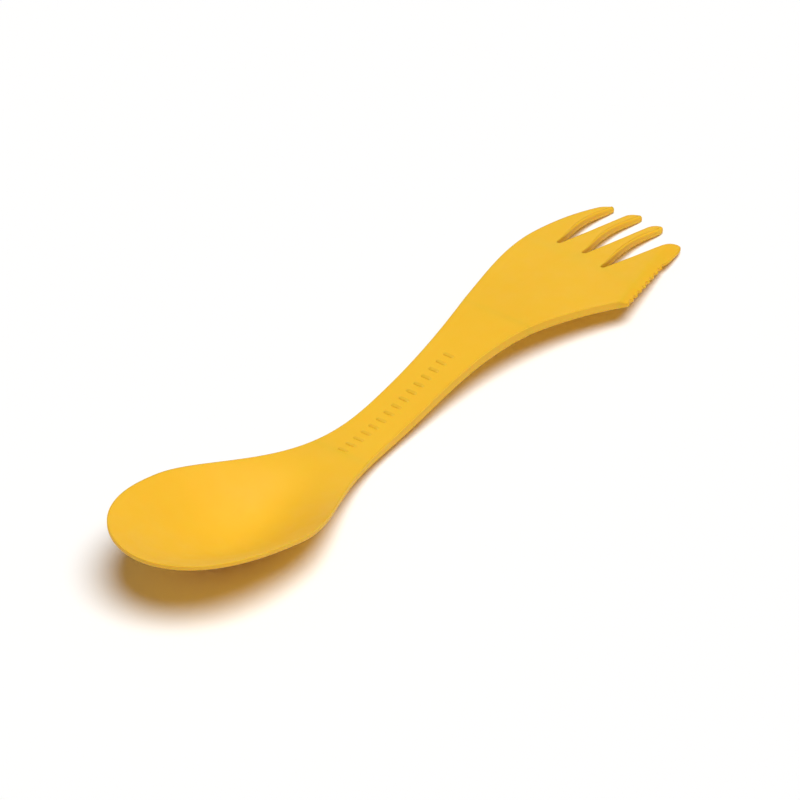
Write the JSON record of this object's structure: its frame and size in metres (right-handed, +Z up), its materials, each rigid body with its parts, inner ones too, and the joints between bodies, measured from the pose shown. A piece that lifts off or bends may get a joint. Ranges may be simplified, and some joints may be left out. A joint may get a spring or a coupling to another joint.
{
  "type": "spork",
  "caption": "Two-ended moulded utensil with a spoon bowl at one end, a waisted handle and a flat fork with a toothed cutting side at the other.",
  "frame": {"origin": "on the table, below the middle of the part's box", "axes": "+X along the part, from the spoon bowl to the fork's tine tips; +Y towards the fork's plain side, away from the cutting edge; +Z up, the open side of the bowl"},
  "size_m": [0.17, 0.0382, 0.0162],
  "materials": {
    "moulded_plastic": "satin"
  },
  "bodies": {
    "root": {"spoon_bowl": "moulded_plastic", "handle": "moulded_plastic", "grip_marks": "moulded_plastic", "fork_plate": "moulded_plastic", "outer_tine": "moulded_plastic", "left_middle_tine": "moulded_plastic", "right_middle_tine": "moulded_plastic", "cutting_tine": "moulded_plastic", "cutting_edge": "moulded_plastic"}
  },
  "joints": []
}
